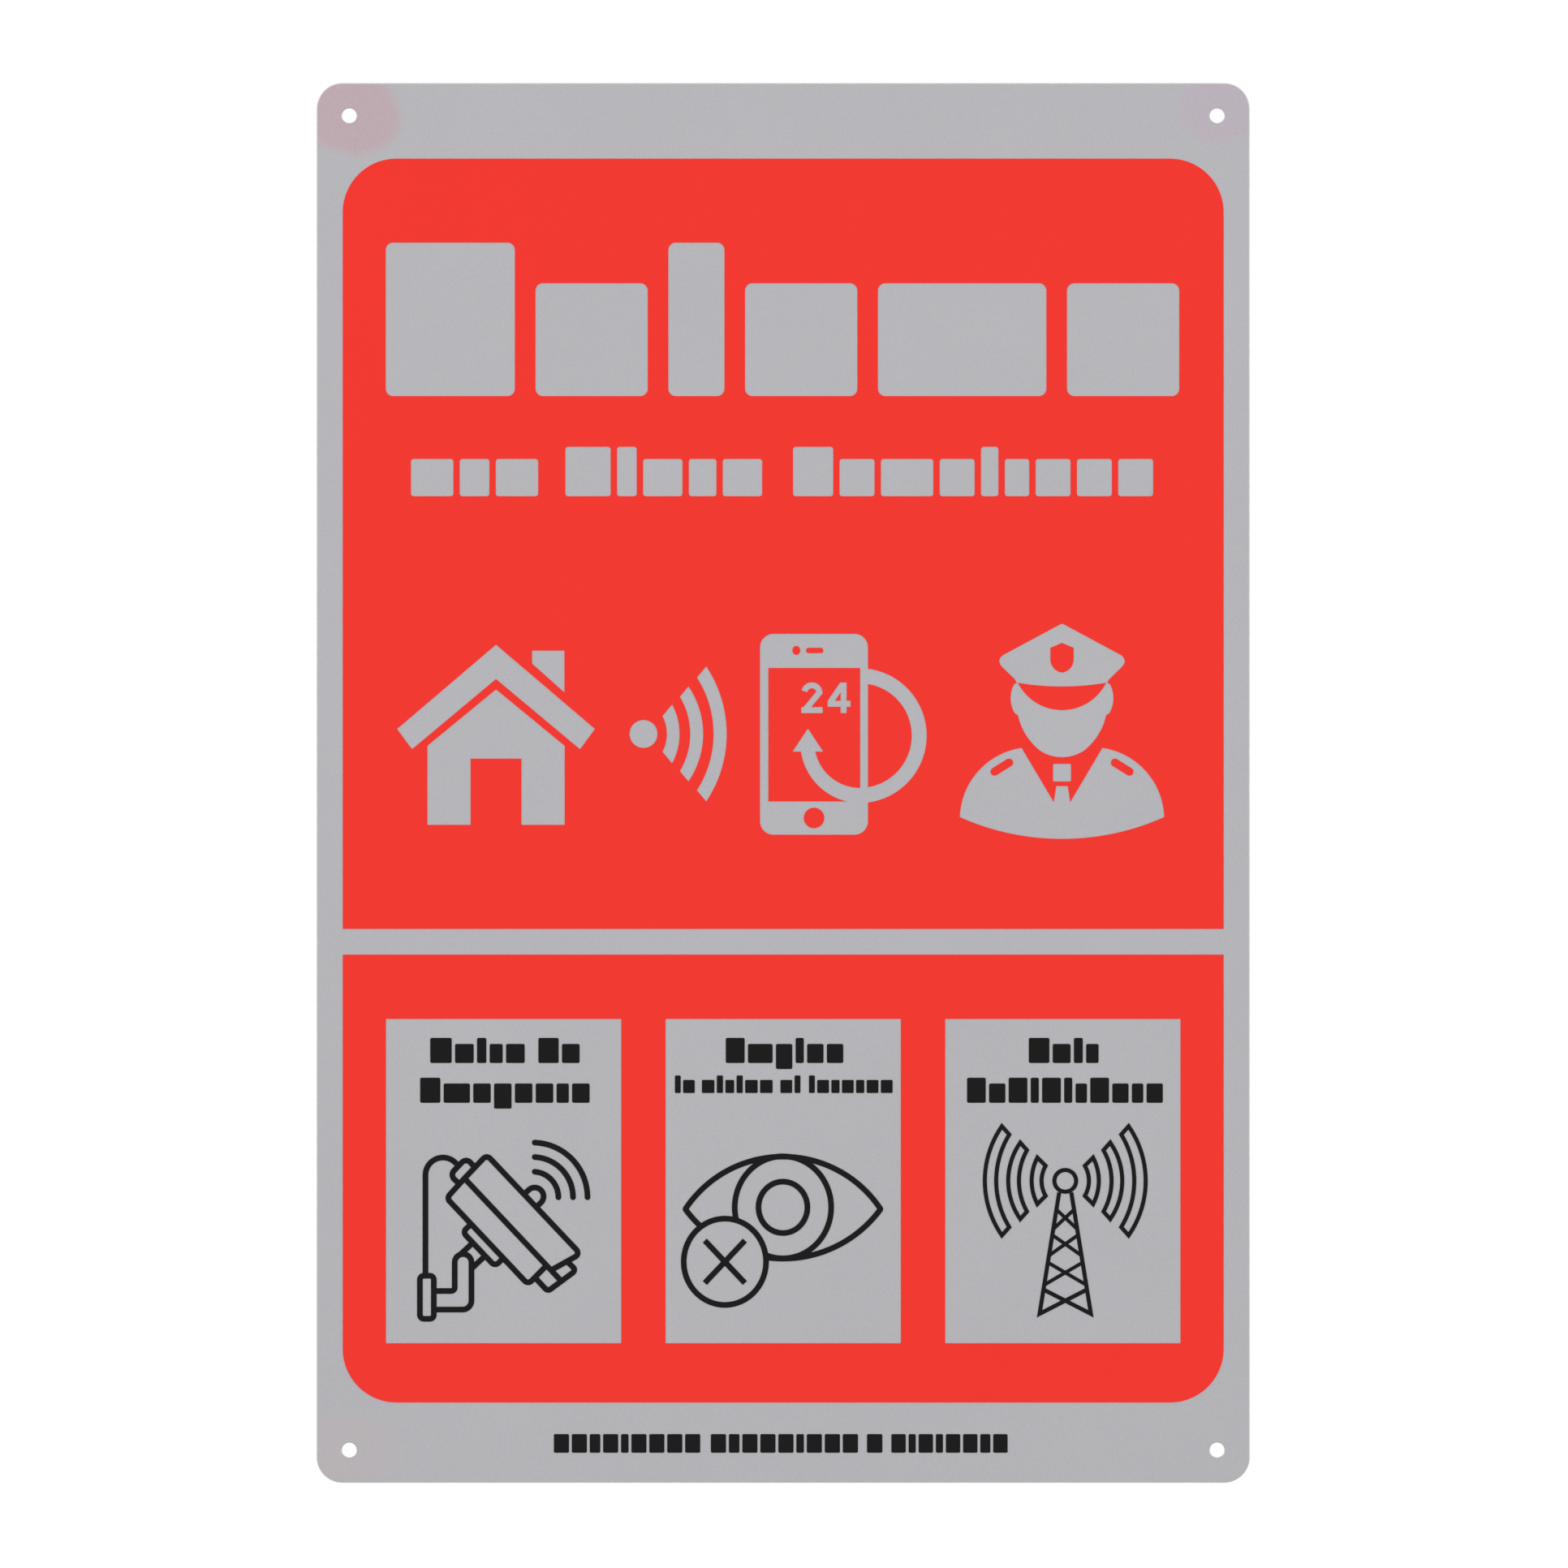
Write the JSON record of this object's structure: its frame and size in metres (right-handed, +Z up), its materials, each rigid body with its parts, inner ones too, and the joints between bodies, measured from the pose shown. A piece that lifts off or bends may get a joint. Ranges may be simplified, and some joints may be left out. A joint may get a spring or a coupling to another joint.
{
  "type": "alarm warning sign",
  "caption": "Flat upright sheet-metal warning sign with round corners, corner fixing holes, red fields with pictogram cut-outs, and line drawings in three windows.",
  "frame": {"origin": "middle of the back face, which lies on the wall, at the centre of the four fixing holes", "axes": "+Z up the sign, +X across it to the reader's right, the printed face looks along -Y"},
  "size_m": [0.2, 0.0011, 0.3],
  "materials": {
    "silver_plate": "satin",
    "red_film": "satin",
    "black_film": "satin"
  },
  "bodies": {
    "root": {"sign_plate": "silver_plate", "red_field_upper": "red_film", "red_field_lower": "red_film", "camera_mark": "black_film", "eye_mark": "black_film", "mast_mark": "black_film"}
  },
  "joints": []
}
